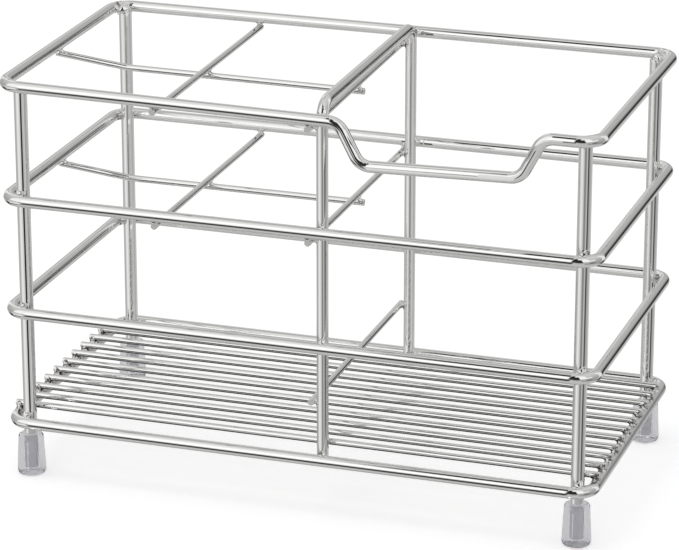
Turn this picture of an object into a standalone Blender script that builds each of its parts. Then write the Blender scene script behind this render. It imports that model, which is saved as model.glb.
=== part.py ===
"""A wire toothbrush holder.

Four hoops of thick wire are welded to four corner posts. The top one, the rim, dips in front of the
right compartment. A bent arch divides the holder, two grids of thin wire hold the brushes apart,
thin wires side by side make the floor, and a clear cap covers the foot of each post.

Metres, +Z up, the front faces -Y. The origin is on the ground, in the middle of the outline.
"""

import math

import bmesh
import bpy
from mathutils import Vector

# Hoops, measured along the centre line of their wire
HOOP_LENGTH = 0.180
HOOP_DEPTH = 0.093
HOOP_CORNER_RADIUS = 0.0063
HOOP_WIRE = 0.0035
HOOP_PITCH = 0.0352

# The dip in the rim: where it starts after the arch and ends before the right side
DIP_AFTER_ARCH = 0.0061
DIP_BEFORE_SIDE = 0.0157
DIP_DEPTH = 0.0123
DIP_SLOPE = math.radians(62.5)
DIP_BEND_RADIUS = 0.005
RIM_SAG = 0.0012

# Corner posts
POST_DIAMETER = 0.004
POST_BELOW_RIM = 0.0004

# Foot caps
CAP_LENGTH = 0.0128
CAP_TO_BASE_HOOP = 0.005
CAP_TOP_DIAMETER = 0.0076
CAP_BOTTOM_DIAMETER = 0.0087
CAP_FLOOR = 0.0022
CAP_SHOULDER_RADIUS = 0.0009
CAP_FOOT_RADIUS = 0.0014
CAP_MOUTH_CHAMFER = 0.0003

# The arch, from its place right of the middle
ARCH_X = 0.0082
ARCH_WIRE = 0.0035
ARCH_ABOVE_RIM = 0.0026
ARCH_BEND_RADIUS = 0.005

# Thin wires of the two grids, the low divider and the floor
THIN_WIRE = 0.0021
FRONT_TO_BACK_OVERHANG = 0.0006
SIDE_OVERHANG = 0.0011
LONG_WIRE_RAMP = 0.022
LONG_WIRE_END = 0.002
LOW_DIVIDER_RISE = 0.0172
LOW_DIVIDER_OVERHANG = 0.0018
FLOOR_WIRE_COUNT = 11
FLOOR_REAR_MARGIN = 0.0037

# What every contact between two pieces keeps clear, and the rounding of a cut wire's or post's end
CONTACT_GAP = 0.0003
CUT_END_ROUNDING = 0.0003

# How finely round shapes are divided
ARC_STEP = math.radians(15)
THICK_WIRE_RESOLUTION = 4
THIN_WIRE_RESOLUTION = 3
POST_SIDES = 20
CAP_SIDES = 28
ROUNDING_STEPS = 3
SMOOTH_BELOW = math.radians(40)

STEEL = {"colour": (0.63, 0.63, 0.61, 1.0), "roughness": 0.24, "metallic": 1.0}
CLEAR_PLASTIC = {"colour": (0.74, 0.75, 0.80, 1.0), "roughness": 0.18, "metallic": 0.0, "transmission": 0.6}

# Places that follow from the sizes above
BASE_HEIGHT = CAP_LENGTH + CAP_TO_BASE_HOOP
LOWER_HEIGHT = BASE_HEIGHT + HOOP_PITCH
UPPER_HEIGHT = LOWER_HEIGHT + HOOP_PITCH
RIM_HEIGHT = UPPER_HEIGHT + HOOP_PITCH
SIDE_X = HOOP_LENGTH / 2
FRONT_Y = -HOOP_DEPTH / 2
POST_INSET = (HOOP_CORNER_RADIUS - HOOP_WIRE / 2 - POST_DIAMETER / 2 - CONTACT_GAP) * math.sqrt(0.5)
POST_X = SIDE_X - HOOP_CORNER_RADIUS + POST_INSET
POST_Y = HOOP_DEPTH / 2 - HOOP_CORNER_RADIUS + POST_INSET
LEG_Y = HOOP_DEPTH / 2 - (HOOP_WIRE + ARCH_WIRE) / 2 - CONTACT_GAP
SEAT = (HOOP_WIRE + THIN_WIRE) / 2 + CONTACT_GAP
CROSSING = THIN_WIRE + CONTACT_GAP
DIVIDER_WIRE_X = ARCH_X - (ARCH_WIRE + THIN_WIRE) / 2 - CONTACT_GAP
CROSS_WIRE_X = (DIVIDER_WIRE_X - THIN_WIRE / 2 - SIDE_X + HOOP_WIRE / 2) / 2
DIP_START_X = ARCH_X + DIP_AFTER_ARCH
DIP_END_X = SIDE_X - DIP_BEFORE_SIDE


def clear_scene():
    for obj in list(bpy.data.objects):
        bpy.data.objects.remove(obj, do_unlink=True)


def principled(name, colour, roughness, metallic, transmission=0.0):
    material = bpy.data.materials.new(name)
    material.use_nodes = True
    shader = material.node_tree.nodes["Principled BSDF"]
    shader.inputs["Base Color"].default_value = colour
    shader.inputs["Roughness"].default_value = roughness
    shader.inputs["Metallic"].default_value = metallic
    shader.inputs["Transmission Weight"].default_value = transmission
    material.diffuse_color = colour
    return material


def place(name, data, location, holder):
    """An object of the holder, at its place under the holder's empty."""
    obj = bpy.data.objects.new(name, data)
    obj.location = location
    obj.parent = holder["origin"]
    holder["collection"].objects.link(obj)
    return obj


# Paths of bent wire

def bend(corner, before, after, radius):
    """The arc that rounds a corner between the directions to the points before and after it."""
    turn = math.pi - before.angle(after)
    inward = (before + after).normalized()
    along = (after - before).normalized()
    centre = corner + inward * radius / math.cos(turn / 2)
    steps = max(2, math.ceil(turn / ARC_STEP))
    angles = [turn * (step / steps - 0.5) for step in range(steps + 1)]
    return [centre + radius * (along * math.sin(angle) - inward * math.cos(angle)) for angle in angles]


def bent_path(corners, radii, closed=False):
    """A path through corners, each rounded to its radius. The ends of an open path stay sharp."""
    corners = [Vector(corner) for corner in corners]
    path = []
    for index, (corner, radius) in enumerate(zip(corners, radii)):
        if not closed and index in (0, len(corners) - 1):
            path.append(corner)
            continue
        before = (corners[index - 1] - corner).normalized()
        after = (corners[(index + 1) % len(corners)] - corner).normalized()
        path += bend(corner, before, after, radius)
    return path


def rounded_cut(end, inside, diameter):
    """Places and widths of the rings that round a wire's cut end, from the tip inwards."""
    direction = (inside - end).normalized()
    rings = []
    for step in range(ROUNDING_STEPS):
        angle = math.pi / 2 * step / (ROUNDING_STEPS - 1)
        depth = CUT_END_ROUNDING * (1 - math.cos(angle))
        width = 1 - CUT_END_ROUNDING * (1 - math.sin(angle)) / (diameter / 2)
        rings.append((end + direction * depth, width))
    return rings


def wire(name, path, diameter, resolution, material, closed=False):
    """A round wire along a path, as a curve with a bevel."""
    rings = [(point, 1.0) for point in path]
    if not closed:
        start = rounded_cut(path[0], path[1], diameter)
        finish = rounded_cut(path[-1], path[-2], diameter)
        rings = start + rings[1:-1] + finish[::-1]
    curve = bpy.data.curves.new(name, "CURVE")
    curve.dimensions = "3D"
    curve.bevel_depth = diameter / 2
    curve.bevel_resolution = resolution
    curve.use_fill_caps = not closed
    spline = curve.splines.new("POLY")
    spline.points.add(len(rings) - 1)
    for point, (position, width) in zip(spline.points, rings):
        point.co = (*position, 1.0)
        point.radius = width
    spline.use_cyclic_u = closed
    spline.use_smooth = True
    curve.materials.append(material)
    return curve


# The hoops

def hoop_corners():
    """The hoop's four corners, from the front left anticlockwise as seen from above."""
    return [(-SIDE_X, FRONT_Y, 0), (SIDE_X, FRONT_Y, 0), (SIDE_X, -FRONT_Y, 0), (-SIDE_X, -FRONT_Y, 0)]


def plain_hoop(name, material):
    corners = hoop_corners()
    path = bent_path(corners, [HOOP_CORNER_RADIUS] * len(corners), closed=True)
    return wire(name, path, HOOP_WIRE, THICK_WIRE_RESOLUTION, material, closed=True)


def dip_corners():
    """The four bends of the dip. The rim's front wire has sunk a little where it meets the arch."""
    run = DIP_DEPTH / math.tan(DIP_SLOPE)
    return [
        (DIP_START_X, FRONT_Y, -RIM_SAG),
        (DIP_START_X + run, FRONT_Y, -RIM_SAG - DIP_DEPTH),
        (DIP_END_X - run, FRONT_Y, -DIP_DEPTH),
        (DIP_END_X, FRONT_Y, 0),
    ]


def dipped_rim(name, material):
    corners = hoop_corners()
    dip = dip_corners()
    corners[1:1] = dip
    radii = [HOOP_CORNER_RADIUS] * len(corners)
    radii[1:1 + len(dip)] = [DIP_BEND_RADIUS] * len(dip)
    path = bent_path(corners, radii, closed=True)
    return wire(name, path, HOOP_WIRE, THICK_WIRE_RESOLUTION, material, closed=True)


def rim_drop(x):
    """How far the rim's front wire has sunk at x, left of the dip."""
    return RIM_SAG * (x + SIDE_X) / (DIP_START_X + SIDE_X)


def no_drop(x):
    return 0.0


def build_hoops(holder):
    steel = principled("hoop_steel", **STEEL)
    place("top_rim", dipped_rim("top_rim", steel), (0, 0, RIM_HEIGHT), holder)
    hoop = plain_hoop("hoop", steel)
    heights = {"upper_hoop": UPPER_HEIGHT, "lower_hoop": LOWER_HEIGHT, "base_hoop": BASE_HEIGHT}
    for name, height in heights.items():
        place(name, hoop, (0, 0, height), holder)


# The corner posts and their caps

def rounded_rod(name, diameter, length, material):
    """A straight rod from z = 0 upwards, with rounded ends."""
    mesh = bpy.data.meshes.new(name)
    shape = bmesh.new()
    bmesh.ops.create_cone(
        shape, cap_ends=True, segments=POST_SIDES, radius1=diameter / 2, radius2=diameter / 2, depth=length
    )
    bmesh.ops.translate(shape, verts=shape.verts, vec=(0, 0, length / 2))
    rims = [edge for edge in shape.edges if edge.calc_face_angle() > SMOOTH_BELOW]
    bmesh.ops.bevel(
        shape, geom=rims, offset=CUT_END_ROUNDING, segments=ROUNDING_STEPS, profile=0.5, affect="EDGES"
    )
    shape.to_mesh(mesh)
    shape.free()
    mesh.materials.append(material)
    mesh.shade_smooth()
    mesh.set_sharp_from_angle(angle=SMOOTH_BELOW)
    return mesh


def quarter_round(centre_x, centre_z, radius, start):
    """Points of a quarter circle in the profile's plane, turning clockwise from the start angle."""
    angles = [start - math.pi / 2 * step / ROUNDING_STEPS for step in range(ROUNDING_STEPS + 1)]
    return [(centre_x + radius * math.cos(angle), centre_z + radius * math.sin(angle)) for angle in angles]


def cap_profile():
    """Half the cap's section: from the middle of the bore's floor, up the bore and down the outside."""
    bore = POST_DIAMETER / 2 + CONTACT_GAP
    mouth = CAP_LENGTH - CAP_MOUTH_CHAMFER
    shoulder = (CAP_TOP_DIAMETER / 2 - CAP_SHOULDER_RADIUS, CAP_LENGTH - CAP_SHOULDER_RADIUS)
    foot = (CAP_BOTTOM_DIAMETER / 2 - CAP_FOOT_RADIUS, CAP_FOOT_RADIUS)
    inside = [(0, CAP_FLOOR), (bore, CAP_FLOOR), (bore, mouth), (bore + CAP_MOUTH_CHAMFER, CAP_LENGTH)]
    outside = quarter_round(*shoulder, CAP_SHOULDER_RADIUS, math.pi / 2)
    outside += quarter_round(*foot, CAP_FOOT_RADIUS, 0.0)
    return inside + outside + [(0, 0)]


def turned_cap(name, material):
    profile = cap_profile()
    mesh = bpy.data.meshes.new(name)
    edges = [(index, index + 1) for index in range(len(profile) - 1)]
    mesh.from_pydata([(x, 0, z) for x, z in profile], edges, [])
    mesh.materials.append(material)
    return mesh


def turn(obj):
    """Turns the object's profile about its Z axis."""
    screw = obj.modifiers.new("turn", "SCREW")
    screw.steps = CAP_SIDES
    screw.render_steps = CAP_SIDES
    screw.use_merge_vertices = True
    screw.merge_threshold = 0.00001
    screw.use_smooth_shade = True


def build_posts_and_caps(holder):
    foot = CAP_FLOOR + CONTACT_GAP
    length = RIM_HEIGHT - POST_BELOW_RIM - foot
    post = rounded_rod("corner_post", POST_DIAMETER, length, principled("post_steel", **STEEL))
    cap = turned_cap("foot_cap", principled("cap_plastic", **CLEAR_PLASTIC))
    for side, x in (("left", -POST_X), ("right", POST_X)):
        for end, y in (("front", -POST_Y), ("rear", POST_Y)):
            place(f"corner_post_{end}_{side}", post, (x, y, foot), holder)
            turn(place(f"foot_cap_{end}_{side}", cap, (x, y, 0), holder))


# The arch that divides the holder

def build_arch(holder):
    """Two legs inside the hoops, joined above the rim. They end level with the base hoop's underside."""
    top = RIM_HEIGHT + ARCH_ABOVE_RIM
    bottom = BASE_HEIGHT - HOOP_WIRE / 2
    corners = [(0, -LEG_Y, bottom), (0, -LEG_Y, top), (0, LEG_Y, top), (0, LEG_Y, bottom)]
    path = bent_path(corners, [ARCH_BEND_RADIUS] * len(corners))
    steel = principled("arch_steel", **STEEL)
    curve = wire("divider_arch", path, ARCH_WIRE, THICK_WIRE_RESOLUTION, steel)
    place("divider_arch", curve, (ARCH_X, 0, 0), holder)


# The grids of thin wire

def front_to_back_wire(name, drop, material):
    """A straight wire under the hoop's front and rear wires, lower in front by the drop there."""
    reach = HOOP_DEPTH / 2 + FRONT_TO_BACK_OVERHANG
    overrun = drop * FRONT_TO_BACK_OVERHANG / HOOP_DEPTH
    path = [Vector((0, -reach, -SEAT - drop - overrun)), Vector((0, reach, -SEAT + overrun))]
    return wire(name, path, THIN_WIRE, THIN_WIRE_RESOLUTION, material)


def long_wire(name, drop_at, material):
    """A wire under both front to back wires. Its left part climbs to the hoop's left side."""
    heights = {x: -SEAT - drop_at(x) / 2 - CROSSING for x in (CROSS_WIRE_X, DIVIDER_WIRE_X)}
    slope = (heights[DIVIDER_WIRE_X] - heights[CROSS_WIRE_X]) / (DIVIDER_WIRE_X - CROSS_WIRE_X)
    ramp_x = -SIDE_X + LONG_WIRE_RAMP
    ramp_z = heights[CROSS_WIRE_X] + slope * (ramp_x - CROSS_WIRE_X)
    left = Vector((-SIDE_X, 0, -SEAT))
    ramp = Vector((ramp_x, 0, ramp_z))
    tip = left + (left - ramp).normalized() * SIDE_OVERHANG
    right = Vector((DIVIDER_WIRE_X + LONG_WIRE_END, 0, heights[DIVIDER_WIRE_X] + slope * LONG_WIRE_END))
    return wire(name, [tip, ramp, right], THIN_WIRE, THIN_WIRE_RESOLUTION, material)


def build_grid(level, height, drop_at, holder):
    steel = principled(f"{level}_grid_steel", **STEEL)
    for kind, x in (("cross", CROSS_WIRE_X), ("divider", DIVIDER_WIRE_X)):
        name = f"{level}_{kind}_wire"
        place(name, front_to_back_wire(name, drop_at(x), steel), (x, 0, height), holder)
    name = f"{level}_long_wire"
    place(name, long_wire(name, drop_at, steel), (0, 0, height), holder)


def build_low_divider(holder):
    """A thin wire across the arch's legs, between the floor and the lower hoop."""
    reach = LEG_Y + LOW_DIVIDER_OVERHANG
    path = [Vector((0, -reach, 0)), Vector((0, reach, 0))]
    steel = principled("low_divider_steel", **STEEL)
    curve = wire("low_divider_wire", path, THIN_WIRE, THIN_WIRE_RESOLUTION, steel)
    place("low_divider_wire", curve, (DIVIDER_WIRE_X, 0, BASE_HEIGHT + LOW_DIVIDER_RISE), holder)


def build_floor(holder):
    """Wires side by side on the base hoop's sides, the front one just behind the front posts."""
    reach = SIDE_X + SIDE_OVERHANG
    path = [Vector((-reach, 0, 0)), Vector((reach, 0, 0))]
    curve = wire("floor_wire", path, THIN_WIRE, THIN_WIRE_RESOLUTION, principled("floor_steel", **STEEL))
    post_face = POST_Y - POST_DIAMETER / 2
    front = -(post_face - CONTACT_GAP - THIN_WIRE / 2)
    rear = post_face - FLOOR_REAR_MARGIN - THIN_WIRE / 2
    spacing = (rear - front) / (FLOOR_WIRE_COUNT - 1)
    for index in range(FLOOR_WIRE_COUNT):
        y = rear - spacing * index
        place(f"floor_wire_{index + 1:02d}", curve, (0, y, BASE_HEIGHT + SEAT), holder)


def build_holder():
    clear_scene()
    collection = bpy.data.collections.new("toothbrush_holder")
    bpy.context.scene.collection.children.link(collection)
    origin = bpy.data.objects.new("holder_origin", None)
    collection.objects.link(origin)
    holder = {"collection": collection, "origin": origin}
    build_hoops(holder)
    build_posts_and_caps(holder)
    build_arch(holder)
    build_grid("rim", RIM_HEIGHT, rim_drop, holder)
    build_grid("upper", UPPER_HEIGHT, no_drop, holder)
    build_low_divider(holder)
    build_floor(holder)


build_holder()
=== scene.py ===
import math

import bpy
import numpy as np
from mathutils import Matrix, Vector


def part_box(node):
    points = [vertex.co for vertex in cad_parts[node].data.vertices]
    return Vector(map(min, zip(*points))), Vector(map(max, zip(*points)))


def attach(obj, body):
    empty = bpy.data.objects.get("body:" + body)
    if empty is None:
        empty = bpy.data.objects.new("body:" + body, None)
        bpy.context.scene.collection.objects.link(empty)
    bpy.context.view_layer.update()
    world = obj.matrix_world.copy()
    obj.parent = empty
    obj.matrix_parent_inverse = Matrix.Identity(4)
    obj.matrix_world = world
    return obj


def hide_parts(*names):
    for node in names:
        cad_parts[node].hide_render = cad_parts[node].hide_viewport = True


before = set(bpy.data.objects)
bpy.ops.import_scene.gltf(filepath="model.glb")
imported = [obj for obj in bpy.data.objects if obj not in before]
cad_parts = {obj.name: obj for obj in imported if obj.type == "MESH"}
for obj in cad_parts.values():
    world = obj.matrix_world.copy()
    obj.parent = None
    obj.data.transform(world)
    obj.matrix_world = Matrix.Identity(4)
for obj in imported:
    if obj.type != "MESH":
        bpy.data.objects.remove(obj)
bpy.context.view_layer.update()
print("frame loaded:", len(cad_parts), "nodes")

for leftOver in [o for o in bpy.data.objects if o.type in ("CAMERA", "LIGHT")]:
    bpy.data.objects.remove(leftOver)


# Places read from the frame, in metres

# A node's lowest corner, middle and highest corner.
def boxOf(node):
    low, high = map(np.array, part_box(node))
    return low, (low + high) / 2, high


def halfSizes(node):
    low, _, high = boxOf(node)
    return (high - low) / 2


thickRadius = halfSizes("upper_hoop")[2]
thinRadius = halfSizes("low_divider_wire")[2]
postRadius = halfSizes("corner_post_front_left")[0]
sideX = halfSizes("upper_hoop")[0] - thickRadius
sideY = halfSizes("upper_hoop")[1] - thickRadius
archX = boxOf("divider_arch")[1][0]
legY = halfSizes("divider_arch")[1] - thickRadius

hoopNodes = {"rim": "top_rim", "upper": "upper_hoop", "lower": "lower_hoop", "base": "base_hoop"}
hoopHeights = {level: boxOf(node)[1][2] for level, node in hoopNodes.items()}
hoopHeights["rim"] = boxOf("top_rim")[2][2] - thickRadius
cornerEnds = [(end, side) for side in ("left", "right") for end in ("front", "rear")]
floorNodes = [f"floor_wire_{index:02d}" for index in range(1, 12)]
xAxis, yAxis, zAxis = (1, 0, 0), (0, 1, 0), (0, 0, 1)

hoopSettings = {
    "cornerRadius": 0.0063, "sides": 28, "weldsWithin": 0.006, "rimSag": 0.0012,
    "dipAfterArch": 0.0061, "dipBeforeSide": 0.0157, "dipDepth": 0.0123, "dipSlope": math.radians(62.5),
    "dipRadius": 0.005, "baseMatt": 0.42, "mattWithin": 0.043, "mattEdge": 0.004,
}

dipStartX = archX + hoopSettings["dipAfterArch"]
dipEndX = sideX - hoopSettings["dipBeforeSide"]


# How far the rim's front wire has sunk at x, left of the dip.
def rimDrop(x):
    return hoopSettings["rimSag"] * (x + sideX) / (dipStartX + sideX)


# Meshes from grids

# Faces of a grid of rows rings with columns points each, wound so that they face away from the row's middle.
# A closed grid joins its last ring to the first, and an open one is closed by a fan at each end to a pole.
def gridFaces(rows, columns, closed, start=0):
    row = np.arange(rows if closed else rows - 1)[:, None] * columns
    nextRow = (row + columns) % (rows * columns)
    column = np.arange(columns)[None, :]
    nextColumn = (column + 1) % columns
    corners = [row + column, nextRow + column, nextRow + nextColumn, row + nextColumn]
    faces = (np.stack(np.broadcast_arrays(*corners), -1).reshape(-1, 4) + start).tolist()
    if closed:
        return faces
    ring = np.arange(columns)
    after = (ring + 1) % columns
    firstPole = np.full(columns, rows * columns)
    lastPole = firstPole + 1
    lastRing = (rows - 1) * columns
    faces += (np.stack([firstPole, ring, after], -1) + start).tolist()
    faces += (np.stack([lastPole, lastRing + after, lastRing + ring], -1) + start).tolist()
    return faces


def meshPiece(name, points, faces, material, **marks):
    mesh = bpy.data.meshes.new(name)
    mesh.from_pydata(points.tolist(), [], faces)
    for label, values in marks.items():
        kind, word = ("FLOAT_VECTOR", "vector") if values.ndim == 2 else ("FLOAT", "value")
        layer = mesh.attributes.new(label, kind, "POINT")
        layer.data.foreach_set(word, values.astype(np.float32).ravel())
    mesh.materials.append(material)
    mesh.shade_smooth()
    mesh.update()
    piece = bpy.data.objects.new(name, mesh)
    bpy.context.scene.collection.objects.link(piece)
    return piece


# A piece is named after its node in camel case, without the words corner and foot.
def nameOf(node):
    words = [word for word in node.split("_") if word not in ("corner", "foot")]
    return words[0] + "".join(word.capitalize() for word in words[1:])


def unit(vectors):
    return vectors / np.linalg.norm(vectors, axis=-1, keepdims=True)


# Even angles all round from 0.
def roundAngles(count):
    return np.linspace(0, math.tau, count, endpoint=False)


# Paths of bent wire

# The arc of the given radius that is tangent to both straights at a corner: its centre lies on the corner's
# bisector, and its points step evenly through the turned angle.
def cornerArc(corner, before, after, radius):
    turn = math.pi - math.acos(float(np.clip(before @ after, -1, 1)))
    inward = unit(before + after)
    along = unit(after - before)
    centre = corner + inward * radius / math.cos(turn / 2)
    angles = np.linspace(-turn / 2, turn / 2, max(4, round(turn / math.radians(4))))[:, None]
    return centre + radius * (along * np.sin(angles) - inward * np.cos(angles))


wireSpacing = 0.0008


# Corners joined by straights and arcs, with the straights in even steps of about the wires' spacing. The radii at an
# open path's two ends aren't used.
def wirePath(corners, radii, closed):
    corners = np.array(corners, float)
    stretches = []
    for index, (corner, radius) in enumerate(zip(corners, radii)):
        if not closed and index in (0, len(corners) - 1):
            stretches.append(corner[None, :])
            continue
        before = unit(corners[index - 1] - corner)
        after = unit(corners[(index + 1) % len(corners)] - corner)
        stretches.append(cornerArc(corner, before, after, radius))
    path = []
    for index, stretch in enumerate(stretches):
        path.append(stretch)
        if not closed and index == len(stretches) - 1:
            break
        start, finish = stretch[-1], stretches[(index + 1) % len(stretches)][0]
        count = max(1, round(float(np.linalg.norm(finish - start)) / wireSpacing))
        path.append(start + (finish - start) * (np.arange(1, count) / count)[:, None])
    return np.concatenate(path)


# Shares of a cut end's rounding and of its disc's radius, each ring's sawing, and how far the other rings keep off.
cutSettings = {
    "dome": 0.15, "discDepth": 0.25, "discWidth": 0.5, "keepOff": 1.2,
    "turns": (0, 22.5, 45, 67.5, 90), "sawn": (1, 1, 0.6, 0.2, 0, 0),
}


# Rings for a cut end: a slightly domed disc whose edge is rounded. They give each ring's depth from the tip,
# its radius, from the disc to the full wire, and how much of it is sawn.
def cutEnd(radius, rounding):
    s = cutSettings
    dome = rounding * s["dome"]
    turn = np.radians(s["turns"])
    depth = np.concatenate([[dome * s["discDepth"]], dome + rounding * (1 - np.cos(turn))])
    width = np.concatenate([[(radius - rounding) * s["discWidth"]], radius - rounding * (1 - np.sin(turn))])
    return depth, width, np.array(s["sawn"])


# The path's points farther than the reach from both its ends.
def awayFromEnds(path, reach):
    return path[(np.linalg.norm(path[:, None] - path[[0, -1]], axis=-1) > reach).all(1)]


# A wire is the path's points plus its radius times cos a outwards and sin a upwards, where outwards is
# the path's direction crossed with a fixed direction, and upwards is square to both. Its drawn lines follow cos a,
# sin a and the length along it in millimetres.
def wireGrid(path, radii, reference, sides, closed):
    if closed:
        tangent = unit(np.roll(path, -1, 0) - np.roll(path, 1, 0))
        length = np.linalg.norm(path - np.roll(path, 1, 0), axis=1)
        length[0] = 0
    else:
        tangent = unit(np.gradient(path, axis=0))
        length = np.concatenate([[0], np.linalg.norm(np.diff(path, axis=0), axis=1)])
    outward = unit(np.cross(tangent, reference))
    upward = np.cross(outward, tangent)
    across, up = np.cos(roundAngles(sides)), np.sin(roundAngles(sides))
    around = across[:, None] * outward[:, None] + up[:, None] * upward[:, None]
    points = path[:, None] + radii[:, None, None] * around
    drawn = np.stack(np.broadcast_arrays(across, up, np.cumsum(length)[:, None] * 1000), -1)
    return points.reshape(-1, 3), drawn.reshape(-1, 3)


# The heat at each point: the largest of the welds' bells, each as high as its heat and as wide as its spread.
def weldHeat(points, near):
    heat = np.zeros(len(points))
    for weld in near:
        away = ((points - weld["spot"]) ** 2).sum(1)
        heat = np.maximum(heat, weld["heat"] * np.exp(-away / weld["spread"] ** 2))
    return heat


wires = []


# A wire with its cut ends. Matt wire counts as partly sawn where it lies less than mattWithin from the middle of the
# depth, in full from mattEdge nearer.
def wirePiece(node, corners, bends, radius, reference, settings, near, closed=False, matt=0.0):
    path = wirePath(corners, bends, closed)
    thin = radius == thinRadius
    sides = settings["sides"]
    radii = np.full(len(path), radius)
    sawn = np.zeros(len(path))
    poles = np.zeros((0, 3))
    wires.append((path, radius, closed))
    if not closed:
        depth, width, share = cutEnd(radius, settings["rounding"])
        ahead, behind = unit(path[1] - path[0]), unit(path[-2] - path[-1])
        inner = awayFromEnds(path, depth[-1] * cutSettings["keepOff"])
        poles = path[[0, -1]]
        path = np.concatenate([path[0] + depth[:, None] * ahead, inner, path[-1] + depth[::-1, None] * behind])
        radii = np.concatenate([width, np.full(len(inner), radius), width[::-1]])
        sawn = np.concatenate([share, np.zeros(len(inner)), share[::-1]])
    points, drawn = wireGrid(path, radii, np.array(reference, float), sides, closed)
    faces = gridFaces(len(path), sides, closed)
    points = np.concatenate([points, poles])
    drawn = np.concatenate([drawn, np.zeros(poles.shape)])
    sawn = np.concatenate([np.repeat(sawn, sides), np.ones(len(poles))])
    if matt:
        sawn += matt * np.clip((settings["mattWithin"] - abs(points[:, 1])) / settings["mattEdge"], 0, 1)
    steel, heat = thinSteel if thin else thickSteel, weldHeat(points, near)
    piece = meshPiece(nameOf(node), points, faces, steel, drawn=drawn, heat=heat, sawn=sawn)
    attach(piece, "root")
    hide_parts(node)


# Materials

# Gives each named or numbered input of a node its value, or links it to another node's output.
def feed(tree, node, inputs):
    for label, value in inputs.items():
        if isinstance(value, bpy.types.NodeSocket):
            tree.links.new(value, node.inputs[label])
        else:
            node.inputs[label].default_value = value


# Adds a node with its settings, feeds its inputs and returns the output asked for.
def addNode(tree, kind, output, inputs=None, **settings):
    node = tree.nodes.new(kind)
    for label, value in settings.items():
        setattr(node, label, value)
    feed(tree, node, inputs or {})
    return node.outputs[output]


def newMaterial(name):
    material = bpy.data.materials.new(name)
    material.use_nodes = True
    return material, material.node_tree, material.node_tree.nodes["Principled BSDF"]


# A material that shines by itself but isn't sampled as a lamp.
def shiningMaterial(name):
    material, tree, shader = newMaterial(name)
    tree.nodes.remove(shader)
    material.cycles.emission_sampling = "NONE"
    return material, tree


def mapRange(tree, source, toRange, fromRange=(0, 1)):
    return addNode(tree, "ShaderNodeMapRange", "Result", {
        "Value": source, "From Min": fromRange[0], "From Max": fromRange[1],
        "To Min": toRange[0], "To Max": toRange[1],
    })


def noiseOn(tree, source, scale, detail, stretch=(1, 1, 1)):
    place = addNode(tree, "ShaderNodeMapping", "Vector", {"Scale": stretch, "Vector": source})
    return addNode(tree, "ShaderNodeTexNoise", "Fac", {"Scale": scale, "Detail": detail, "Vector": place})


def mixOf(tree, kind, factor, first, second):
    return addNode(tree, "ShaderNodeMix", "Result", {"Factor": factor, "A": first, "B": second}, data_type=kind)


def bumpOf(tree, height, strength, distance):
    inputs = {"Strength": strength, "Distance": distance, "Height": height}
    return addNode(tree, "ShaderNodeBump", "Normal", inputs)


# A range is the part of the noise, heat or sawing over which the look changes.
steelSettings = {
    "colour": (0.865, 0.862, 0.852, 1), "roughness": (0.03, 0.075),
    "dullColour": (0.815, 0.812, 0.8, 1), "ageScale": 90.0, "ageDetail": 3,
    "heatColour": (0.3, 0.29, 0.275, 1), "heatRoughness": 0.28, "heatRange": (0.35, 0.95),
    "speckScale": 900, "speckDetail": 2, "speckRange": (0.42, 0.58),
    "sawnRoughness": 0.75, "sawnMetallic": 0.1, "sawnRange": (0.7, 1.0),
    "lineScale": 3.0, "lineDetail": 4, "lineStretch": (1.6, 1.6, 0.02), "lineRange": (0.3, 0.7),
    "lineBump": 0.03, "lineDepth": 0.0002,
}


# Polished drawn wire: faint lines run along it, it is a little duller in patches, its cut faces are matt, and the
# welds have burnt it in specks.
def drawnSteel(name):
    s = steelSettings
    material, tree, shader = newMaterial(name)
    drawn = addNode(tree, "ShaderNodeAttribute", "Vector", attribute_name="drawn")
    heat = addNode(tree, "ShaderNodeAttribute", "Fac", attribute_name="heat")
    sawn = addNode(tree, "ShaderNodeAttribute", "Fac", attribute_name="sawn")
    place = addNode(tree, "ShaderNodeTexCoord", "Object")
    lines = noiseOn(tree, drawn, s["lineScale"], s["lineDetail"], s["lineStretch"])
    patches = noiseOn(tree, place, s["ageScale"], s["ageDetail"])
    specks = noiseOn(tree, place, s["speckScale"], s["speckDetail"])
    shares = {0: mapRange(tree, heat, (0, 1), s["heatRange"]), 1: mapRange(tree, specks, (0, 1), s["speckRange"])}
    scorch = addNode(tree, "ShaderNodeMath", "Value", shares, operation="MULTIPLY")
    clean = mixOf(tree, "RGBA", patches, s["colour"], s["dullColour"])
    polish = mapRange(tree, lines, s["roughness"], s["lineRange"])
    rough = mixOf(tree, "FLOAT", scorch, polish, s["heatRoughness"])
    feed(tree, shader, {
        "Base Color": mixOf(tree, "RGBA", scorch, clean, s["heatColour"]),
        "Roughness": mixOf(tree, "FLOAT", sawn, rough, s["sawnRoughness"]),
        "Metallic": mapRange(tree, sawn, (1.0, s["sawnMetallic"]), s["sawnRange"]),
        "Normal": bumpOf(tree, lines, s["lineBump"], s["lineDepth"]),
    })
    return material


weldSettings = {
    "brightColour": (0.85, 0.845, 0.83, 1), "darkColour": (0.2, 0.19, 0.18, 1), "roughness": (0.05, 0.26),
    "patchDetail": 3, "bump": 0.25, "depth": 0.0003,
}

# For each group of welds, the scale of its dark patches and the noise where they begin and where they are darkest.
weldPatches = {
    "cornerWelds": (480, 0.52, 0.62), "legWelds": (480, 0.52, 0.62),
    "gridWelds": (480, 0.54, 0.64), "floorWelds": (1100, 0.48, 0.54),
}


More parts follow.
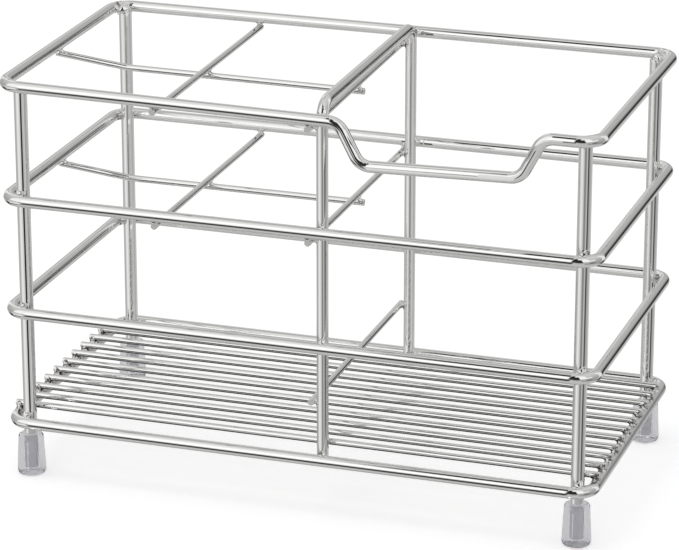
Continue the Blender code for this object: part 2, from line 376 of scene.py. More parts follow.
# Weld metal: bright where it ran, dark where it is burnt, with a lumpy skin.
def weldMetal(name):
    s = weldSettings
    material, tree, shader = newMaterial(name)
    scale, begins, darkest = weldPatches[name]
    patches = noiseOn(tree, addNode(tree, "ShaderNodeTexCoord", "Object"), scale, s["patchDetail"])
    share = mapRange(tree, patches, (0, 1), (begins, darkest))
    feed(tree, shader, {
        "Base Color": mixOf(tree, "RGBA", share, s["brightColour"], s["darkColour"]),
        "Roughness": mapRange(tree, share, s["roughness"]),
        "Metallic": 1.0,
        "Normal": bumpOf(tree, patches, s["bump"], s["depth"]),
    })
    return material


plasticSettings = {
    "colour": (0.76, 0.76, 0.785, 1), "cloudyColour": (0.63, 0.63, 0.665, 1), "roughness": (0.06, 0.18),
    "cloudScale": 420, "cloudDetail": 3, "cloudStretch": (1, 1, 0.15), "cloudRange": (0.3, 0.7),
    "bump": 0.35, "depth": 0.0002, "clear": 0.86, "ior": 1.14, "skin": 0.9, "skinRoughness": 0.08,
}


# Clear soft plastic with a faint lavender tint, a little cloudy in places.
def clearPlastic(name):
    s = plasticSettings
    material, tree, shader = newMaterial(name)
    place = addNode(tree, "ShaderNodeTexCoord", "Object")
    clouds = noiseOn(tree, place, s["cloudScale"], s["cloudDetail"], s["cloudStretch"])
    feed(tree, shader, {
        "Base Color": mixOf(tree, "RGBA", clouds, s["colour"], s["cloudyColour"]),
        "Roughness": mapRange(tree, clouds, s["roughness"], s["cloudRange"]),
        "Normal": bumpOf(tree, clouds, s["bump"], s["depth"]),
        "Transmission Weight": s["clear"],
        "IOR": s["ior"],
        "Coat Weight": s["skin"],
        "Coat Roughness": s["skinRoughness"],
    })
    return material


thickSteel = drawnSteel("thickWireSteel")
thinSteel = drawnSteel("thinWireSteel")
capPlastic = clearPlastic("capPlastic")


# Where wires meet: each weld keeps the spot between the two axis points nearest each other, the directions of both
# wires and from one to the other, and the values of its kind: how far it reaches, how wide the fillet between the
# wires is, how much it and its waves stand out, and its heat and how far that spreads along the wires. One by a cut
# end also keeps the axis that the end faces along and the place where the weld stops behind it.
weldTable = {
    "rimCorner": (0.0036, 0.0009, 0.00016, 0.00009, 0.25, 0.0022),
    "corner": (0.0026, 0.0007, 0.00016, 0.0001, 0.55, 0.0018),
    "leg": (0.0022, 0.0007, 0.00016, 0.00008, 0.5, 0.0016),
    "grid": (0.0017, 0.0008, 0.00018, 0.00006, 0.7, 0.0012),
    "floor": (0.0021, 0.0009, 0.0003, 0.00014, 0.75, 0.003),
}
weldWords = ("reach", "fillet", "swell", "lump", "heat", "spread")

# In metres: the spot's place past the first wire's skin, the weld's stop behind a cut end, how much lower the rim's
# corner welds sit and where they end below the rim's middle, and how far the long wires lie under the cross wires.
weldPlaces = {"pastSkin": 0.00015, "behindCut": 0.00014, "rimLower": 0.0003, "rimEnd": 0.0013, "crossing": 0.0024}

# The ball over a post's end: its top from the rim's middle, its radius and how far it sits forward.
rimBlobs = {"front": (-0.0004, 0.0022, 0.0), "rear": (0.0015, 0.0023, 0.0004)}


def weldAt(first, firstAlong, second, firstRadius, kind, axis=None, tip=0.0):
    first, second = np.array(first, float), np.array(second, float)
    through = unit(second - first)
    spot = first + through * (firstRadius + weldPlaces["pastSkin"])
    weld = {"kind": kind, "spot": spot, "through": through, "along": np.array(firstAlong, float)}
    if axis is not None:
        weld["cut"] = (axis, tip - math.copysign(weldPlaces["behindCut"], tip))
    return weld | dict(zip(weldWords, weldTable[kind]))


# The weld over a post's end is a flattened ball on it, higher at the rear than in front.
def rimBlob(middle, end):
    top, radius, forward = rimBlobs[end]
    return np.array([middle[0], middle[1] - forward, hoopHeights["rim"] + top - radius]), radius


# A post meets each hoop where the hoop's bend crosses the corner's diagonal.
def cornerWelds():
    cornerRadius = hoopSettings["cornerRadius"]
    for end, side in cornerEnds:
        sx, sy = -1 if side == "left" else 1, -1 if end == "front" else 1
        middle = boxOf(f"corner_post_{end}_{side}")[1]
        diagonal = np.array([sx, sy, 0]) * math.sqrt(0.5)
        bend = np.array([sx * (sideX - cornerRadius), sy * (sideY - cornerRadius), 0])
        for level, height in hoopHeights.items():
            post = np.array([middle[0], middle[1], height])
            hoop = bend + diagonal * cornerRadius + np.array([0, 0, height])
            weld = weldAt(post, zAxis, hoop, postRadius, "rimCorner" if level == "rim" else "corner")
            if level == "rim":
                weld["spot"][2] -= weldPlaces["rimLower"]
                weld["blob"] = rimBlob(middle, end)
                weld["bottom"] = height - weldPlaces["rimEnd"]
            yield weld


def legWelds():
    for sy in (-1, 1):
        for level, height in hoopHeights.items():
            if level == "rim" and sy < 0:
                height = height - rimDrop(archX)
            yield weldAt((archX, sy * legY, height), zAxis, (archX, sy * sideY, height), thickRadius, "leg")


def gridWelds():
    for level in ("rim", "upper"):
        low, _, high = boxOf(f"{level}_long_wire")
        tip = (-sideX, 0, high[2] - thinRadius)
        yield weldAt(tip, xAxis, (-sideX, 0, hoopHeights[level]), thinRadius, "grid", 0, low[0])
        for kind in ("cross", "divider"):
            low, (x, _, _), high = boxOf(f"{level}_{kind}_wire")
            front, rear = low[2] + thinRadius, high[2] - thinRadius
            for sy, height in ((-1, front), (1, rear)):
                hoopHeight = hoopHeights[level] - (rimDrop(x) if level == "rim" and sy < 0 else 0)
                wire, hoop = (x, sy * sideY, height), (x, sy * sideY, hoopHeight)
                yield weldAt(wire, yAxis, hoop, thinRadius, "grid", 1, sy * high[1])
                if kind == "divider":
                    wire, leg = (x, sy * legY, height), (archX, sy * legY, height)
                    yield weldAt(wire, yAxis, leg, thinRadius, "grid")
            middle = (front + rear) / 2
            under = (x, 0, middle - weldPlaces["crossing"])
            yield weldAt(under, xAxis, (x, 0, middle), thinRadius, "grid")
    _, (x, _, z), high = boxOf("low_divider_wire")
    for sy in (-1, 1):
        wire, leg = (x, sy * legY, z), (archX, sy * legY, z)
        yield weldAt(wire, yAxis, leg, thinRadius, "grid", 1, sy * high[1])


def floorWelds():
    for node in floorNodes:
        _, (_, y, z), high = boxOf(node)
        for sx in (-1, 1):
            wire, hoop = (sx * sideX, y, z), (sx * sideX, y, hoopHeights["base"])
            yield weldAt(wire, xAxis, hoop, thinRadius, "floor", 0, sx * high[0])


welds = {"corner": cornerWelds(), "leg": legWelds(), "grid": gridWelds(), "floor": floorWelds()}
welds = {group: list(found) for group, found in welds.items()}
allWelds = [weld for group in welds.values() for weld in group]
print("welds placed:", len(allWelds))


# Hoops, arch and posts

# The dip's corners in the rim's front. The rim sags from its left corner to the dip, and each slope of the dip runs
# its depth over the slope's tangent to the right.
def dipCorners(z):
    s = hoopSettings
    run = s["dipDepth"] / math.tan(s["dipSlope"])
    bottom, sag = z - s["dipDepth"], s["rimSag"]
    return [
        (dipStartX, -sideY, z - sag), (dipStartX + run, -sideY, bottom - sag),
        (dipEndX - run, -sideY, bottom), (dipEndX, -sideY, z),
    ]


# The many welds of the floor have left the base hoop's sides matt all round.
baseHeat = {"heat": 1.8, "spread": 0.0065}


def buildHoops():
    s = hoopSettings
    for level, node in hoopNodes.items():
        z = hoopHeights[level]
        corners = [(-sideX, -sideY, z), (sideX, -sideY, z), (sideX, sideY, z), (-sideX, sideY, z)]
        bends = [s["cornerRadius"]] * 4
        near = [weld for weld in allWelds if abs(weld["spot"][2] - z) < s["weldsWithin"]]
        matt = 0.0
        if level == "rim":
            corners[1:1] = dipCorners(z)
            bends[1:1] = [s["dipRadius"]] * 4
        if level == "base":
            near = [weld | baseHeat if weld["kind"] == "floor" else weld for weld in near]
            matt = s["baseMatt"]
        wirePiece(node, corners, bends, thickRadius, zAxis, s, near, True, matt)


archSettings = {"bendRadius": 0.005, "sides": 28, "rounding": 0.0003}


def buildArch():
    low, _, high = boxOf("divider_arch")
    y, top = high[1] - thickRadius, high[2] - thickRadius
    corners = [(archX, -y, low[2]), (archX, -y, top), (archX, y, top), (archX, y, low[2])]
    bends = [archSettings["bendRadius"]] * 4
    wirePiece("divider_arch", corners, bends, thickRadius, xAxis, archSettings, welds["leg"] + welds["grid"])


postSettings = {"sides": 30, "rounding": 0.0003}


def buildPosts():
    for end, side in cornerEnds:
        node = f"corner_post_{end}_{side}"
        low, (x, y, _), high = boxOf(node)
        corners = [(x, y, low[2]), (x, y, high[2])]
        wirePiece(node, corners, [0, 0], postRadius, xAxis, postSettings, welds["corner"])


buildHoops()
buildArch()
buildPosts()
print("thick wire built")


# Thin wires

thinSettings = {"sides": 20, "rampLength": 0.022, "rampRadius": 0.012, "rounding": 0.00014}


def thinPiece(node, corners, near):
    wirePiece(node, corners, [thinSettings["rampRadius"]] * len(corners), thinRadius, zAxis, thinSettings, near)


# The rim's long wire falls to the right half as steeply as the rim's front, and both long wires turn up to the left.
def buildGrids():
    for level in ("rim", "upper"):
        for kind in ("cross", "divider"):
            node = f"{level}_{kind}_wire"
            low, (x, _, _), high = boxOf(node)
            thinPiece(node, [(x, low[1], low[2] + thinRadius), (x, high[1], high[2] - thinRadius)], welds["grid"])
        node = f"{level}_long_wire"
        low, _, high = boxOf(node)
        fall = rimDrop(sideX) / (2 * sideX) / 2 if level == "rim" else 0
        rampX = -sideX + thinSettings["rampLength"]
        right = (high[0], 0, low[2] + thinRadius)
        ramp = (rampX, 0, right[2] + fall * (high[0] - rampX))
        thinPiece(node, [(low[0], 0, high[2] - thinRadius), ramp, right], welds["grid"])
    node = "low_divider_wire"
    low, (x, _, z), high = boxOf(node)
    thinPiece(node, [(x, low[1], z), (x, high[1], z)], welds["grid"])


def buildFloorWires():
    for node in floorNodes:
        low, (_, y, z), high = boxOf(node)
        thinPiece(node, [(low[0], y, z), (high[0], y, z)], welds["floor"])


buildGrids()
buildFloorWires()
print("thin wire built")


# Welds

weldMesh = {
    "rows": 20, "columns": 34, "steps": 28, "firstStep": 0.02, "blobFillet": 0.001, "sink": 1.12,
    "waves": 4, "wave": 0.0024, "waveRange": (0.7, 1.6), "beyond": 0.001,
}


# The distance from each point to a polyline's surface: the least over its segments, less the wire's radius.
def wireDistance(points, starts, finishes, radius):
    along = finishes - starts
    share = ((points[:, None, :] - starts) * along).sum(-1) / (along**2).sum(-1)
    nearest = starts + np.clip(share, 0, 1)[..., None] * along
    return np.linalg.norm(points[:, None, :] - nearest, axis=-1).min(1) - radius


# The wires' segments near a spot. A wire's cut end is drawn in by its radius, so that its round end reaches the cut.
def segmentsNear(spot, reach):
    found = []
    for path, radius, closed in wires:
        if closed:
            path = np.concatenate([path, path[:1]])
        else:
            path = np.array(path)
            path[0] += unit(path[1] - path[0]) * radius
            path[-1] += unit(path[-2] - path[-1]) * radius
            path = np.concatenate([path[:1], awayFromEnds(path, radius), path[-1:]])
        close = np.linalg.norm(path - spot, axis=1) < reach + radius + weldMesh["beyond"]
        near = close[:-1] | close[1:]
        if near.any():
            found.append((path[:-1][near], path[1:][near], radius))
    return found


# The lesser of two distances, less a quarter of the fillet's width times the square of how nearly they are equal.
def melted(first, second, fillet):
    share = np.maximum(fillet - abs(first - second), 0) / fillet
    return np.minimum(first, second) - share**2 * fillet / 4


# The weld's skin: from the spot, each direction of a sphere is followed outwards to where the field turns positive.
# The field is the distance to the nearest wire, with neighbouring distances melted together over the fillet's width,
# less the swell, which shrinks with the square of the way out and ends just below the wires, plus low waves.
def weldSkin(weld, directions, chance):
    s = weldMesh
    steps = np.linspace(s["firstStep"], 1, s["steps"])
    points = (weld["spot"] + directions[:, None, :] * (steps * weld["reach"])[:, None]).reshape(-1, 3)
    field, *others = [wireDistance(points, *segments) for segments in segmentsNear(weld["spot"], weld["reach"])]
    for distance in others:
        field = melted(field, distance, weld["fillet"])
    if "blob" in weld:
        centre, radius = weld["blob"]
        field = melted(field, np.linalg.norm(points - centre, axis=1) - radius, s["blobFillet"])
    waves = np.zeros(len(points))
    for _ in range(s["waves"]):
        pace = unit(chance.normal(size=3)) * math.tau / (s["wave"] * chance.uniform(*s["waveRange"]))
        waves += np.sin(points @ pace + chance.uniform(0, math.tau)) / s["waves"]
    out = np.tile(steps, len(directions))
    field = field + weld["lump"] * waves * (1 - out**2) - weld["swell"] * (1 - s["sink"] * out**2)
    field = field.reshape(len(directions), -1)
    outside = field > 0
    last = np.where(outside.any(1), outside.argmax(1), len(steps) - 1)
    before = np.maximum(last - 1, 0)
    rows = np.arange(len(directions))
    low, high = field[rows, before], field[rows, last]
    share = np.where((high > 0) & (low < 0), low / np.where(low == high, -1, low - high), 1.0)
    way = steps[before] + (steps[last] - steps[before]) * share
    return weld["spot"] + directions * (way * weld["reach"])[:, None]


# Each weld's sphere of directions has its poles along the line through both wires, where the wires hide them.
def buildWelds(name, group, seed):
    chance = np.random.default_rng(seed)
    rows, columns = weldMesh["rows"], weldMesh["columns"]
    turn, tilt = np.meshgrid(roundAngles(columns), np.linspace(0, math.pi, rows + 2)[1:-1])
    sphere = np.stack([np.sin(tilt) * np.cos(turn), np.sin(tilt) * np.sin(turn), np.cos(tilt)], -1)
    sphere = np.concatenate([sphere.reshape(-1, 3), [[0, 0, 1], [0, 0, -1]]])
    points, faces = [], []
    for weld in group:
        side = unit(np.cross(weld["through"], weld["along"]))
        directions = sphere @ np.array([np.cross(side, weld["through"]), side, weld["through"]])
        skin = weldSkin(weld, directions, chance)
        if "cut" in weld:
            axis, limit = weld["cut"]
            skin[:, axis] = np.minimum(skin[:, axis], limit) if limit > 0 else np.maximum(skin[:, axis], limit)
        if "bottom" in weld:
            skin[:, 2] = np.maximum(skin[:, 2], weld["bottom"])
        faces += [face[::-1] for face in gridFaces(rows, columns, False, len(points) * len(sphere))]
        points.append(skin)
    piece = meshPiece(name, np.concatenate(points), faces, weldMetal(name))
    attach(piece, "root")


buildWelds("cornerWelds", welds["corner"], 11)
buildWelds("legWelds", welds["leg"], 12)
buildWelds("gridWelds", welds["grid"], 13)
buildWelds("floorWelds", welds["floor"], 14)
print("welds built")


# Foot caps

# The rings under the foot and on the bore's floor are shares of those discs' radii.
capSettings = {
    "topRadius": 0.0038, "footRounding": 0.0014, "shoulderRounding": 0.0009, "floor": 0.0022,
    "bore": 0.00208, "mouthChamfer": 0.0004, "boreRounding": 0.0003, "footRings": (0.3, 0.6), "floorRing": 0.4,
    "sides": 72, "arcSteps": 10, "straightSteps": 8,
}


# A quarter circle's points from one angle to the other, about its centre.
def arcPoints(centreX, centreZ, radius, start, finish):
    angles = np.radians(np.linspace(start, finish, capSettings["arcSteps"]))
    return np.stack([centreX + radius * np.cos(angles), centreZ + radius * np.sin(angles)], -1)


# The cap turns its half section about the post's axis: out along the foot, up the taper, over the shoulder, into the
# mouth and down the bore to its floor. A pole on the axis closes it at each end.
def capSection(height, footRadius):
    s = capSettings
    steps, wide, low = s["straightSteps"], s["bore"], s["floor"]
    edge = s["footRounding"]
    foot = arcPoints(footRadius - edge, edge, edge, -90, 0)
    edge = s["shoulderRounding"]
    shoulder = arcPoints(s["topRadius"] - edge, height - edge, edge, 0, 90)
    taper = np.linspace(foot[-1], shoulder[0], steps)[1:-1]
    edge = s["mouthChamfer"]
    mouth = arcPoints(wide + edge, height - edge, edge, 90, 180)
    edge = s["boreRounding"]
    bore = np.linspace(mouth[-1], (wide, low + edge), steps)[1:]
    floor = arcPoints(wide - edge, low + edge, edge, 0, -90)[1:]
    base = [[footRadius * share, 0.0] for share in s["footRings"]]
    return np.concatenate([base, foot, taper, shoulder, mouth, bore, floor, [[wide * s["floorRing"], low]]])


def buildCaps():
    sides = capSettings["sides"]
    for end, side in cornerEnds:
        node = f"foot_cap_{end}_{side}"
        low, (x, y, _), high = boxOf(node)
        section = capSection(high[2] - low[2], (high[0] - low[0]) / 2)
        turn, radius = np.meshgrid(roundAngles(sides), section[:, 0])
        height = np.broadcast_to(section[:, 1:], radius.shape)
        grid = np.stack([x + radius * np.cos(turn), y + radius * np.sin(turn), low[2] + height], -1)
        poles = [[x, y, low[2]], [x, y, low[2] + capSettings["floor"]]]
        points = np.concatenate([grid.reshape(-1, 3), poles])
        faces = [face[::-1] for face in gridFaces(len(section), sides, False)]
        piece = meshPiece(nameOf(node), points, faces, capPlastic)
        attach(piece, "root")
        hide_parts(node)


buildCaps()
print("foot caps built")


# Stage

# The tent is a sphere round the holder that only reflections see. Its brightness starts from the base, is painted
# over by soft panels, and then by three rings, one for each direction that the wires run in. A wire square to the
# camera mirrors only the directions whose part along the wire is fixed, which is a ring round the wire's axis.
tentSettings = {
    "radius": 20.0, "height": 0.07, "rows": 180, "columns": 360, "panelEdge": 5.0, "ringEdge": 0.03, "flagEdge": 5.0,
}

# Elevations in degrees and the brightness there, all round.
baseLight = ((-90, 0.5), (-46, 0.46), (-26, 0.28), (-10, 0.38), (5, 0.46), (24, 0.54), (48, 0.66), (90, 0.72))

# Azimuths from the front towards the right, elevations, both in degrees, and the brightness.
panels = {
    "frontSoftbox": ((-75, 60), (6, 58), 1.05),
    "topSoftbox": ((-75, 60), (58, 80), 0.86),
    "leftSoftbox": ((-85, -30), (-34, -6), 0.9),
    "slopeSoftbox": ((56, 84), (10, 26), 1.0),
    "belowCamera": ((-24, 38), (-46, -8), 0.62),
    "leftGap": ((-95, -42), (-46, -36), 0.04),
    "leftGapEnd": ((-140, -92), (-40, -27), 0.04),
    "cameraGap": ((2, 30), (-5, 20), 0.02),
    "aboveCamera": ((-2, 28), (16, 48), 0.03),
    "wedgeTip": ((-16, -8), (-7, 14), 0.04),
    "leftOfCamera": ((-13, 9), (-2, 68), 0.03),
    "cameraGapFoot": ((10, 31), (-5, 4), 0.02),
    "rearGap": ((140, 166), (-8, 10), 0.06),
    "rearTop": ((120, 240), (52, 80), 0.7),
    "rightSoftbox": ((118, 138), (-32, 46), 0.92),
    "rearSoftbox": ((204, 228), (-32, 46), 0.9),
    "lowGap": ((125, 215), (-42, -25), 0.08),
    "floor": ((-180, 180), (-90, -46), 0.58),
}

# The wires' axis, the part along it and its half width, the two axes that the angle turns from and to,
# stops of angle and brightness, and flags: a range along the axis, a range of angles and the brightness there.
rings = {
    "postRing": (2, -0.332, 0.072, (1, -1), (0, 1), (
        (-180, 0.74), (-140, 0.62), (-100, 0.5), (-84, 0.46), (-70, 0.58), (-55, 0.84), (-38, 0.95), (-24, 0.88),
        (-10, 0.62), (0, 0.44), (9, 0.31), (16, 0.25), (24, 0.25), (32, 0.38), (42, 0.56), (52, 0.58), (59, 0.22),
        (64, 0.04), (74, 0.04), (81, 0.22), (92, 0.44), (112, 0.44), (130, 0.56), (150, 0.74), (180, 0.74),
    ), ()),
    "sideRing": (1, 0.89, 0.09, (0, 1), (2, 1), (
        (-180, 0.58), (-100, 0.45), (-80, 0.6), (-57, 0.66), (-42, 0.56), (-28, 0.36), (-18, 0.12), (-9, 0.03),
        (8, 0.03), (15, 0.1), (24, 0.26), (34, 0.38), (46, 0.46), (60, 0.5), (80, 0.51), (120, 0.49), (145, 0.5),
        (162, 0.52), (180, 0.56),
    ), ()),
    "frontRing": (0, -0.3, 0.1, (1, 1), (2, 1), (
        (0, 0.6), (31, 0.76), (46, 0.56), (58, 0.42), (68, 0.44), (80, 0.7), (92, 0.86), (104, 0.84), (116, 0.88),
        (128, 1.02), (140, 1.18), (152, 1.24), (168, 1.22), (175, 1.05), (182, 0.6), (188, 0.24), (194, 0.05),
        (211, 0.03), (217, 0.22), (225, 0.5), (240, 0.66), (252, 0.62), (264, 0.4), (276, 0.42), (288, 0.56),
        (330, 0.58), (360, 0.6),
    ), (
        ((-0.28, -0.15), (101, 133), 0.04),
        ((-0.232, -0.15), (184, 206), 0.03),
    )),
}


# 1 inside the range, 0 outside it, easing by a cosine over the edge's width.
def softWindow(values, low, high, edge):
    rise = np.clip((values - low) / edge + 0.5, 0, 1)
    fall = np.clip((high - values) / edge + 0.5, 0, 1)
    return (1 - np.cos(math.pi * rise)) * (1 - np.cos(math.pi * fall)) / 4


# The base's brightness, drawn towards that of each panel, ring and flag in turn by the product of its windows.
def tentGlow(direction, azimuth, elevation):
    s = tentSettings
    glow = np.interp(elevation, *np.array(baseLight).T)
    for (left, right), elevations, brightness in panels.values():
        share = softWindow(elevation, *elevations, s["panelEdge"])
        if (left, right) != (-180, 180):
            share = share * softWindow((azimuth - left + 90) % 360, 90, right - left + 90, s["panelEdge"])
        glow += (brightness - glow) * share
    for axis, along, width, (startAxis, startSign), (turnAxis, turnSign), stops, flags in rings.values():
        angle = np.degrees(np.arctan2(turnSign * direction[..., turnAxis], startSign * direction[..., startAxis]))
        angles, glows = np.array(stops).T
        if angles[0] == 0:
            angle = angle % 360
        share = softWindow(direction[..., axis], along - width, along + width, s["ringEdge"])
        glow += (np.interp(angle, angles, glows) - glow) * share
        for alongRange, angleRange, brightness in flags:
            share = softWindow(direction[..., axis], *alongRange, s["ringEdge"])
            share = share * softWindow(angle, *angleRange, s["flagEdge"])
            glow += (brightness - glow) * share
    return glow


def glossyOnly(piece):
    for ray in ("camera", "diffuse", "transmission", "volume_scatter", "shadow"):
        setattr(piece, "visible_" + ray, False)


# Cloth or card that shines as its mesh's glow says on the back of its faces, and is clear from their front.
def glowingCloth():
    material, tree = shiningMaterial("studioCloth")
    painted = addNode(tree, "ShaderNodeAttribute", "Fac", attribute_name="glow")
    cloth = addNode(tree, "ShaderNodeEmission", "Emission", {"Strength": painted})
    side = addNode(tree, "ShaderNodeNewGeometry", "Backfacing")
    clear = addNode(tree, "ShaderNodeBsdfTransparent", "BSDF")
    oneSided = addNode(tree, "ShaderNodeMixShader", "Shader", {"Fac": side, 1: clear, 2: cloth})
    feed(tree, tree.nodes["Material Output"], {"Surface": oneSided})
    return material


studioCloth = glowingCloth()


# A direction is the elevation's sine upwards, and its cosine times the azimuth's sine to the right and cosine forwards.
def buildTent():
    s = tentSettings
    azimuth = np.linspace(-math.pi, math.pi, s["columns"], endpoint=False)
    azimuth, elevation = np.meshgrid(azimuth, np.radians(np.linspace(-90, 90, s["rows"] + 2)[1:-1]))
    flat = np.cos(elevation)
    direction = np.stack([flat * np.sin(azimuth), -flat * np.cos(azimuth), np.sin(elevation)], -1)
    glow = tentGlow(direction, np.degrees(azimuth), np.degrees(elevation)).ravel()
    glow = np.concatenate([glow, [glow[0], glow[-1]]])
    points = np.concatenate([direction.reshape(-1, 3), [[0, 0, -1], [0, 0, 1]]])
    points = points * s["radius"] + [0, 0, s["height"]]
    faces = [face[::-1] for face in gridFaces(s["rows"], s["columns"], False)]
    tent = meshPiece("studioTent", points, faces, studioCloth, glow=glow)
    glossyOnly(tent)


buildTent()

cameraSettings = {
    "azimuth": math.radians(18.309), "elevation": math.radians(19.745), "distance": 1.06594,
    "target": Vector((-0.00074, 0.0, 0.0588)), "focalPixels": 3531.44, "imageWidth": 679,
    "sensorWidth": 36, "clip": (0.05, 30),
}


def cameraBack():
    s = cameraSettings
    flat = math.cos(s["elevation"])
    return Vector((math.sin(s["azimuth"]) * flat, -math.cos(s["azimuth"]) * flat, math.sin(s["elevation"])))


# Cards that only reflections see stand close to some wires, and keep out of their mirror what the tent has there for
# the others. One by an upright is given by its two edges, as shares of the upright's radius left and right of its
# middle as the camera sees it, and the brightness at both. A share u mirrors the azimuth a + 2 asin u, with a the
# camera's, so on a circle of radius D round an upright of radius R it meets the angle a + 2 asin u - asin(u R / D).
lightCard = (-0.42, -0.14, 0.92, 0.6)
uprightCards = {
    "frontLeft": [lightCard, (-0.13, 0.1, 0.03, 0.03), (0.2, 0.47, 0.55, 0.7)],
    "frontRight": [lightCard],
    "rearLeft": [lightCard, (0.3, 0.6, 0.6, 0.52)],
    "rearRight": [lightCard],
    "legFront": [lightCard],
    "legRear": [lightCard, (0.3, 0.6, 0.66, 0.56)],
}

levels = sorted(hoopHeights.values())

# In metres: the gap from an upright to its cards, and how far they end above and below hoops and past the rear rim.
uprightPlaces = {"gap": 0.0012, "above": 0.0019, "below": 0.0032, "pastRim": 0.002}

# A bright card by each foot cap, and one round the post from there up to the base hoop.
capCard = {"edges": (-0.33, -0.25), "glow": 5.0, "gap": 0.0045, "bottom": 0.0005, "top": 0.0095}
collarCard = {"edges": (-0.42, 0.55), "glows": (0.5, 0.38), "bottom": 0.0105}

# Rows of cards stand forward of the rear wires and of the rim's front right end. A row has its bottom and top from
# the wire's middle, its brightness and where it ends under the rim, and keeps clear of the sides and the arch.
rowCards = {
    "forward": 0.0065, "clearLeft": 0.0055, "clearArch": 0.005, "clearRight": 0.008, "rimLeft": 0.0665,
    "rows": [(-0.0018, -0.0003, 0.86, 0.079), (-0.0048, -0.0018, 0.6, 0.0832)],
}

# Light cards stand forward of the dip, by left, right, bottom, top and brightness. A dark one close to the dip's
# floor follows its slant, with its heights counted from the floor's middle.
dipCards = {
    "forward": 0.01,
    "light": [(0.0195, 0.0645, 0.101, 0.109, 0.8), (0.0535, 0.0645, 0.109, 0.1165, 0.85)],
    "dark": {"left": 0.0215, "right": 0.0625, "forward": 0.0047, "bottom": 0.0078, "top": 0.0106, "glow": 0.04},
}

# A dark card stands forward of the arch, to its right and over its top, and one lies under each floor wire, between
# two distances along Y from it.
archCard = {"left": 0.0022, "right": 0.0042, "forward": 0.0045, "bottom": 0.0005, "top": 0.008, "glow": 0.03}
floorCard = {"drop": 0.0016, "front": -0.00187, "rear": -0.00013, "glow": 0.04}


# The two ends in plan of a card by an upright.
def cardEnds(middle, radius, reach, shares):
    towards = cameraSettings["target"] + cameraBack() * cameraSettings["distance"] - Vector(middle)
    azimuth = math.atan2(towards.x, -towards.y)
    ends = []
    for share in shares:
        turn = azimuth + 2 * math.asin(share) - math.asin(share * radius / reach)
        ends.append((middle[0] + reach * math.sin(turn), middle[1] - reach * math.cos(turn)))
    return ends


# The corners and brightnesses of a standing card with the two ends, heights and end brightnesses.
def standing(ends, low, high, firstGlow, lastGlow=None):
    (first, last), lastGlow = ends, firstGlow if lastGlow is None else lastGlow
    return [(*first, low, firstGlow), (*last, low, lastGlow), (*last, high, lastGlow), (*first, high, firstGlow)]


def cardsByCaps():
    for end, side in cornerEnds:
        post = boxOf(f"corner_post_{end}_{side}")[1]
        radius = halfSizes(f"foot_cap_{end}_{side}")[0]
        ends = cardEnds(post, radius, radius + capCard["gap"], capCard["edges"])
        yield from standing(ends, capCard["bottom"], capCard["top"], capCard["glow"])
        ends = cardEnds(post, postRadius, postRadius + uprightPlaces["gap"], collarCard["edges"])
        yield from standing(ends, collarCard["bottom"], levels[0] - uprightPlaces["below"], *collarCard["glows"])


def cardsByUprights():
    s = uprightPlaces
    uprights = {"legFront": ((archX, -legY, 0), thickRadius), "legRear": ((archX, legY, 0), thickRadius)}
    for end, side in cornerEnds:
        uprights[end + side.capitalize()] = (boxOf(f"corner_post_{end}_{side}")[1], postRadius)
    for name, (middle, radius) in uprights.items():
        spans = zip(levels[:-1], levels[1:]) if middle[1] < 0 else [(levels[0], levels[-1] + s["pastRim"])]
        for lower, upper in spans:
            for first, last, firstGlow, lastGlow in uprightCards[name]:
                ends = cardEnds(middle, radius, radius + s["gap"], (first, last))
                yield from standing(ends, lower + s["above"], upper - s["below"], firstGlow, lastGlow)


def cardsInRows():
    s = rowCards
    y, ahead = sideY - s["forward"], -sideY - s["forward"]
    spans = ((-sideX + s["clearLeft"], archX - s["clearArch"]), (archX + s["clearArch"], sideX - s["clearRight"]))
    for bottom, top, glow, rimRight in s["rows"]:
        for level in levels:
            for left, right in spans:
                yield from standing(((left, y), (right, y)), level + bottom, level + top, glow)
        yield from standing(((s["rimLeft"], ahead), (rimRight, ahead)), levels[-1] + bottom, levels[-1] + top, glow)


def cardsByDip():
    y = -sideY - dipCards["forward"]
    for left, right, bottom, top, glow in dipCards["light"]:
        yield from standing(((left, y), (right, y)), bottom, top, glow)
    s = dipCards["dark"]
    left, right, bottom, top, y = s["left"], s["right"], s["bottom"], s["top"], -sideY - s["forward"]
    floor, sag = levels[-1] - hoopSettings["dipDepth"], hoopSettings["rimSag"]
    ends = (left, bottom - sag), (right, bottom), (right, top), (left, top - sag)
    yield from [(x, y, floor + above, s["glow"]) for x, above in ends]


def cardByArch():
    s = archCard
    y, top = -legY - s["forward"], boxOf("divider_arch")[2][2]
    ends = (archX + s["left"], y), (archX + s["right"], y)
    return standing(ends, top + s["bottom"], top + s["top"], s["glow"])


def cardsUnderFloor():
    s = floorCard
    for node in floorNodes:
        low, (_, y, z), high = boxOf(node)
        front, rear = y + s["front"], y + s["rear"]
        ends = (low[0], front), (low[0], rear), (high[0], rear), (high[0], front)
        yield from [(*place, z - s["drop"], s["glow"]) for place in ends]


def buildCards():
    makers = (cardsByCaps, cardsByUprights, cardsInRows, cardsByDip, cardByArch, cardsUnderFloor)
    cards = np.array([corner for maker in makers for corner in maker()], float)
    faces = np.arange(len(cards)).reshape(-1, 4).tolist()
    piece = meshPiece("studioCards", cards[:, :3], faces, studioCloth, glow=cards[:, 3])
    glossyOnly(piece)


buildCards()

floorSettings = {"halfSize": 6.0, "height": -0.00005, "colour": (0.92, 0.92, 0.92, 1), "lift": 0.52}


# 1 for a ray from the camera, off a shiny surface or through clear plastic, and 0 for any other.
def seenRays(tree):
    ray = tree.nodes.new("ShaderNodeLightPath").outputs
    total = ray["Is Camera Ray"]
    for kind in ("Is Glossy Ray", "Is Transmission Ray"):
        total = addNode(tree, "ShaderNodeMath", "Value", {0: total, 1: ray[kind]}, operation="MAXIMUM")
    return total


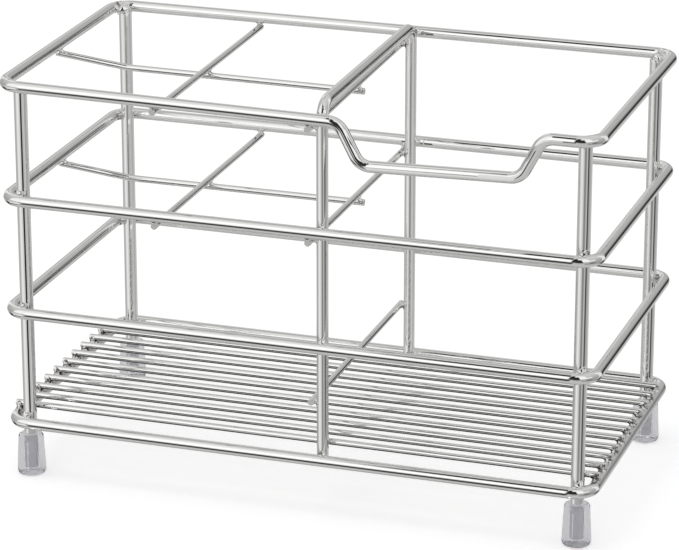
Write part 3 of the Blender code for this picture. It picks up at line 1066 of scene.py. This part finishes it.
# A pale floor: its own colour in the studio's light, lifted where it is seen so that it meets the white beyond it and
# keeps the holder's faint shadow.
def buildFloor():
    s = floorSettings
    size, z = s["halfSize"], s["height"]
    points = np.array([[-size, -size, z], [size, -size, z], [size, size, z], [-size, size, z]])
    material, tree = shiningMaterial("paleFloor")
    paper = addNode(tree, "ShaderNodeBsdfDiffuse", "BSDF", {"Color": s["colour"]})
    strength = mapRange(tree, seenRays(tree), (0, s["lift"]))
    lift = addNode(tree, "ShaderNodeEmission", "Emission", {"Strength": strength})
    both = addNode(tree, "ShaderNodeAddShader", "Shader", {0: paper, 1: lift})
    feed(tree, tree.nodes["Material Output"], {"Surface": both})
    floor = meshPiece("paleFloor", points, [[0, 1, 2, 3]], material)
    floor.visible_glossy = False


buildFloor()

worldSettings = {"white": 1.0, "fill": 0.55}


# The world is plain white to the camera, to reflections and through the plastic, and dimmer as a light.
def buildWorld():
    world = bpy.data.worlds.new("whiteStudio")
    bpy.context.scene.world = world
    world.use_nodes = True
    tree = world.node_tree
    tree.nodes.clear()
    strength = mapRange(tree, seenRays(tree), (worldSettings["fill"], worldSettings["white"]))
    background = addNode(tree, "ShaderNodeBackground", "Background", {"Strength": strength})
    feed(tree, tree.nodes.new("ShaderNodeOutputWorld"), {"Surface": background})


buildWorld()

lampSettings = {"place": (-0.3, -0.4, 2.2), "target": (0, 0, 0.05), "size": 1.6, "power": 9.0}


def buildLamp():
    s = lampSettings
    light = bpy.data.lights.new("softLamp", "AREA")
    light.shape = "SQUARE"
    light.size = s["size"]
    light.energy = s["power"]
    lamp = bpy.data.objects.new("softLamp", light)
    lamp.location = s["place"]
    lamp.rotation_mode = "QUATERNION"
    lamp.rotation_quaternion = (Vector(s["target"]) - lamp.location).to_track_quat("-Z", "Y")
    lamp.visible_glossy = False
    bpy.context.scene.collection.objects.link(lamp)


buildLamp()


def buildCamera():
    s = cameraSettings
    data = bpy.data.cameras.new("photoCamera")
    data.sensor_width = s["sensorWidth"]
    data.lens = s["sensorWidth"] * s["focalPixels"] / s["imageWidth"]
    data.clip_start, data.clip_end = s["clip"]
    camera = bpy.data.objects.new("photoCamera", data)
    back = cameraBack()
    camera.location = s["target"] + back * s["distance"]
    camera.rotation_mode = "QUATERNION"
    camera.rotation_quaternion = (-back).to_track_quat("-Z", "Y")
    bpy.context.scene.collection.objects.link(camera)
    bpy.context.scene.camera = camera


buildCamera()
bpy.context.scene.view_settings.view_transform = "Standard"
print("stage, light and camera set")
